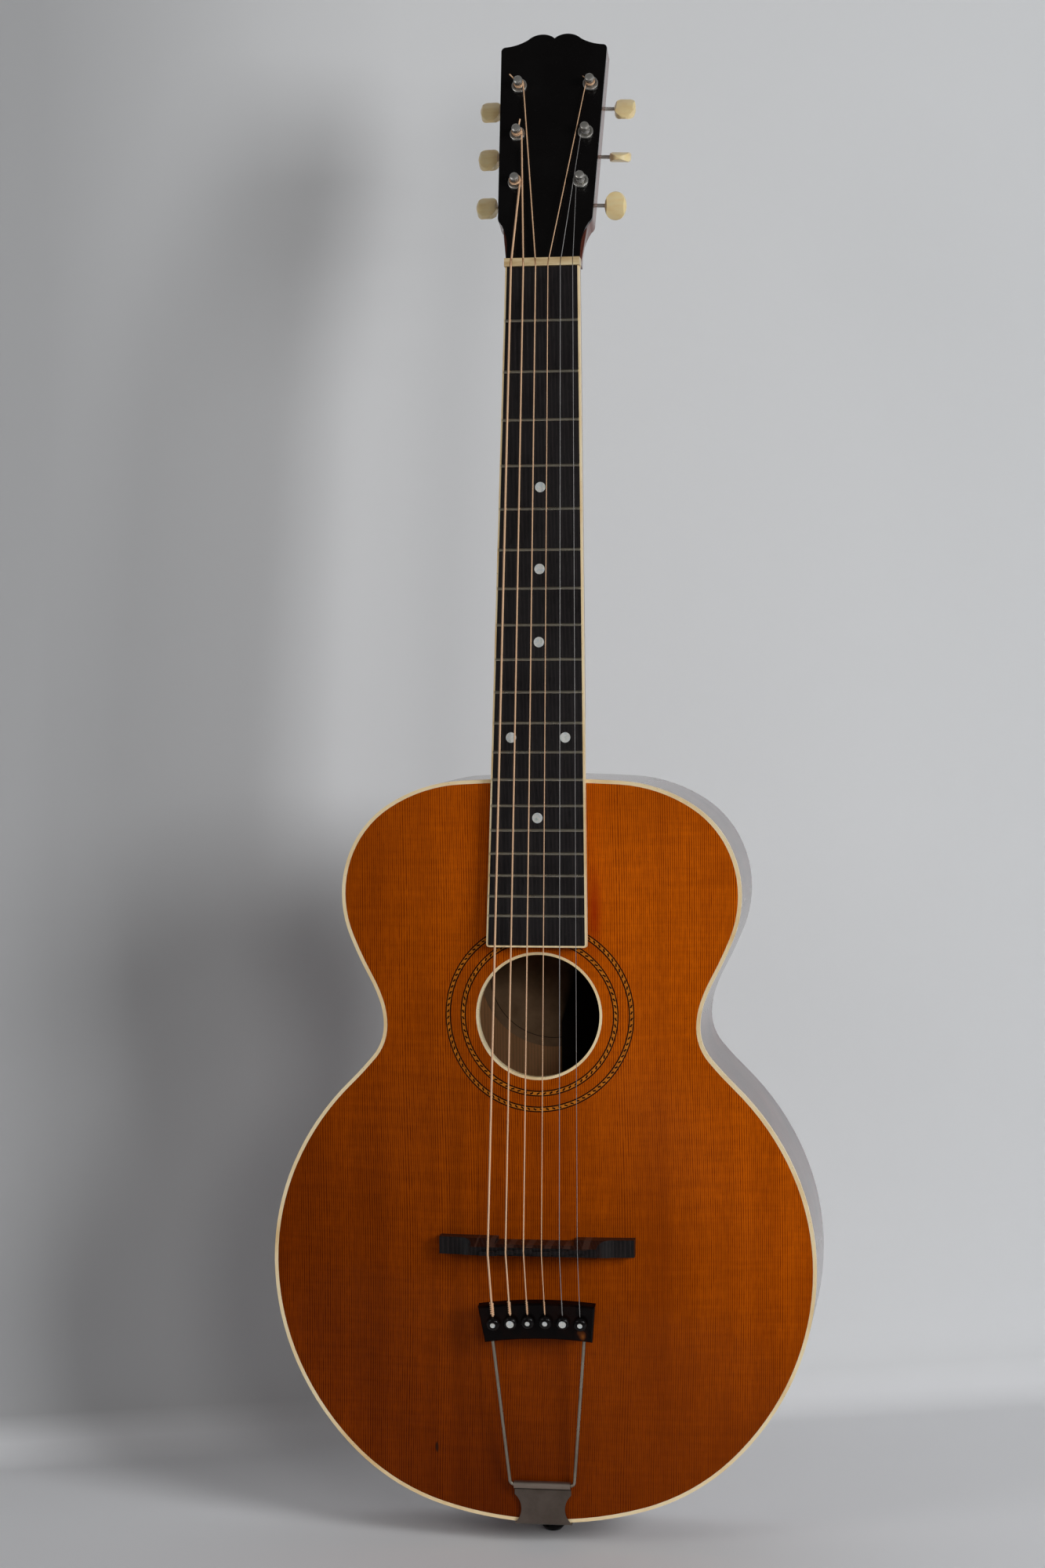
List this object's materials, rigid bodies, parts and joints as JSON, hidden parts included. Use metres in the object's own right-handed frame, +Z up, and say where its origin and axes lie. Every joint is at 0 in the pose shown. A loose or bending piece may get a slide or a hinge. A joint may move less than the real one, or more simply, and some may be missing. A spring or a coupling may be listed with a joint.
{
  "type": "archtop acoustic guitar",
  "caption": "Hollow carved-top guitar with a round soundhole, a slim glued neck, a floating bridge, a hinged wire tailpiece and open-back worm tuners.",
  "frame": {"origin": "on the end pin's axis, at the foot of the rim, midway through the rim's depth", "axes": "+Z up the body and neck, +X to the player's treble side seen from the front, -Y out of the front"},
  "size_m": [0.3492, 0.1505, 0.9799],
  "materials": {
    "spruce_top": "gloss",
    "stained_maple": "gloss",
    "pale_wood": "matte",
    "cream_binding": "satin",
    "rosette": "gloss",
    "neck_wood": "gloss",
    "black_veneer": "gloss",
    "ebony": "satin",
    "ebony_bridge": "satin",
    "nickel_silver": "worn",
    "pearl": "pearly",
    "bone": "satin",
    "nickel_plate": "aged",
    "tortoiseshell": "gloss",
    "black_pin": "gloss",
    "ivory_button": "satin",
    "brass_gear": "aged",
    "wound_string": "bright",
    "plain_string": "bright"
  },
  "bodies": {
    "guitar": {"back_plate": "stained_maple", "bridge": "ebony_bridge", "end_pin": "black_pin", "fingerboard": "ebony", "fingerboard_binding": "cream_binding", "frets": "nickel_silver", "headstock_veneer": "black_veneer", "linings": "pale_wood", "neck": "neck_wood", "neck_block": "pale_wood", "nut": "bone", "position_dots": "pearl", "post_ferrules": "nickel_plate", "rib_bass": "stained_maple", "rib_treble": "stained_maple", "rosette_rings": "rosette", "soundboard": "spruce_top", "soundhole_binding": "cream_binding", "string_1": "wound_string", "string_2": "wound_string", "string_3": "wound_string", "string_4": "wound_string", "string_5": "plain_string", "string_6": "plain_string", "tail_block": "pale_wood", "tailpiece_block": "tortoiseshell", "tailpiece_bracket": "nickel_plate", "tailpiece_pin_eyes": "pearl", "tailpiece_pins": "black_pin", "tailpiece_screws": "nickel_plate", "tailpiece_wire": "nickel_plate", "top_binding": "cream_binding", "top_braces": "pale_wood", "tuner_plate_bass": "nickel_plate", "tuner_plate_screws": "nickel_plate", "tuner_plate_treble": "nickel_plate"},
    "button_bass_1": {"tuner_button_bass_1": "ivory_button", "tuner_worm_bass_1": "nickel_plate"},
    "post_bass_1": {"tuner_post_bass_1": "nickel_plate", "tuner_gear_bass_1": "brass_gear"},
    "button_bass_2": {"tuner_button_bass_2": "ivory_button", "tuner_worm_bass_2": "nickel_plate"},
    "post_bass_2": {"tuner_post_bass_2": "nickel_plate", "tuner_gear_bass_2": "brass_gear"},
    "button_bass_3": {"tuner_button_bass_3": "ivory_button", "tuner_worm_bass_3": "nickel_plate"},
    "post_bass_3": {"tuner_post_bass_3": "nickel_plate", "tuner_gear_bass_3": "brass_gear"},
    "button_treble_1": {"tuner_button_treble_1": "ivory_button", "tuner_worm_treble_1": "nickel_plate"},
    "post_treble_1": {"tuner_post_treble_1": "nickel_plate", "tuner_gear_treble_1": "brass_gear"},
    "button_treble_2": {"tuner_button_treble_2": "ivory_button", "tuner_worm_treble_2": "nickel_plate"},
    "post_treble_2": {"tuner_post_treble_2": "nickel_plate", "tuner_gear_treble_2": "brass_gear"},
    "button_treble_3": {"tuner_button_treble_3": "ivory_button", "tuner_worm_treble_3": "nickel_plate"},
    "post_treble_3": {"tuner_post_treble_3": "nickel_plate", "tuner_gear_treble_3": "brass_gear"}
  },
  "joints": [
    {"name": "button_turn_bass_1", "type": "hinge", "parent": "guitar", "child": "button_bass_1", "pos_m": [-0.02028, 0.0232, 0.84688], "axis": [-0.9999, -0.0064, -0.0159], "continuous": true},
    {"name": "post_turn_bass_1", "type": "hinge", "parent": "guitar", "child": "post_bass_1", "pos_m": [-0.0204, 0.02149, 0.85495], "axis": [0, -0.9275, 0.3738], "continuous": true},
    {"name": "button_turn_bass_2", "type": "hinge", "parent": "guitar", "child": "button_bass_2", "pos_m": [-0.0209, 0.03669, 0.88036], "axis": [-0.9999, -0.0064, -0.0159], "continuous": true},
    {"name": "post_turn_bass_2", "type": "hinge", "parent": "guitar", "child": "post_bass_2", "pos_m": [-0.02102, 0.03498, 0.88843], "axis": [0, -0.9275, 0.3738], "continuous": true},
    {"name": "button_turn_bass_3", "type": "hinge", "parent": "guitar", "child": "button_bass_3", "pos_m": [-0.02152, 0.05018, 0.91384], "axis": [-0.9999, -0.0064, -0.0159], "continuous": true},
    {"name": "post_turn_bass_3", "type": "hinge", "parent": "guitar", "child": "post_bass_3", "pos_m": [-0.02164, 0.04847, 0.92191], "axis": [0, -0.9275, 0.3738], "continuous": true},
    {"name": "button_turn_treble_1", "type": "hinge", "parent": "guitar", "child": "button_treble_1", "pos_m": [0.02168, 0.0232, 0.84689], "axis": [0.9989, -0.0175, -0.0434], "continuous": true},
    {"name": "post_turn_treble_1", "type": "hinge", "parent": "guitar", "child": "post_treble_1", "pos_m": [0.022, 0.02149, 0.85495], "axis": [0, -0.9275, 0.3738], "continuous": true},
    {"name": "button_turn_treble_2", "type": "hinge", "parent": "guitar", "child": "button_treble_2", "pos_m": [0.02337, 0.03668, 0.88033], "axis": [0.9989, -0.0175, -0.0434], "continuous": true},
    {"name": "post_turn_treble_2", "type": "hinge", "parent": "guitar", "child": "post_treble_2", "pos_m": [0.02369, 0.03497, 0.8884], "axis": [0, -0.9275, 0.3738], "continuous": true},
    {"name": "button_turn_treble_3", "type": "hinge", "parent": "guitar", "child": "button_treble_3", "pos_m": [0.02506, 0.05016, 0.91378], "axis": [0.9989, -0.0175, -0.0434], "continuous": true},
    {"name": "post_turn_treble_3", "type": "hinge", "parent": "guitar", "child": "post_treble_3", "pos_m": [0.02538, 0.04845, 0.92185], "axis": [0, -0.9275, 0.3738], "continuous": true}
  ],
  "couplings": [
    {"joint": "post_turn_bass_1", "follows": "button_turn_bass_1", "ratio": 0.083333},
    {"joint": "post_turn_bass_2", "follows": "button_turn_bass_2", "ratio": 0.083333},
    {"joint": "post_turn_bass_3", "follows": "button_turn_bass_3", "ratio": 0.083333},
    {"joint": "post_turn_treble_1", "follows": "button_turn_treble_1", "ratio": -0.083333},
    {"joint": "post_turn_treble_2", "follows": "button_turn_treble_2", "ratio": -0.083333},
    {"joint": "post_turn_treble_3", "follows": "button_turn_treble_3", "ratio": -0.083333}
  ]
}
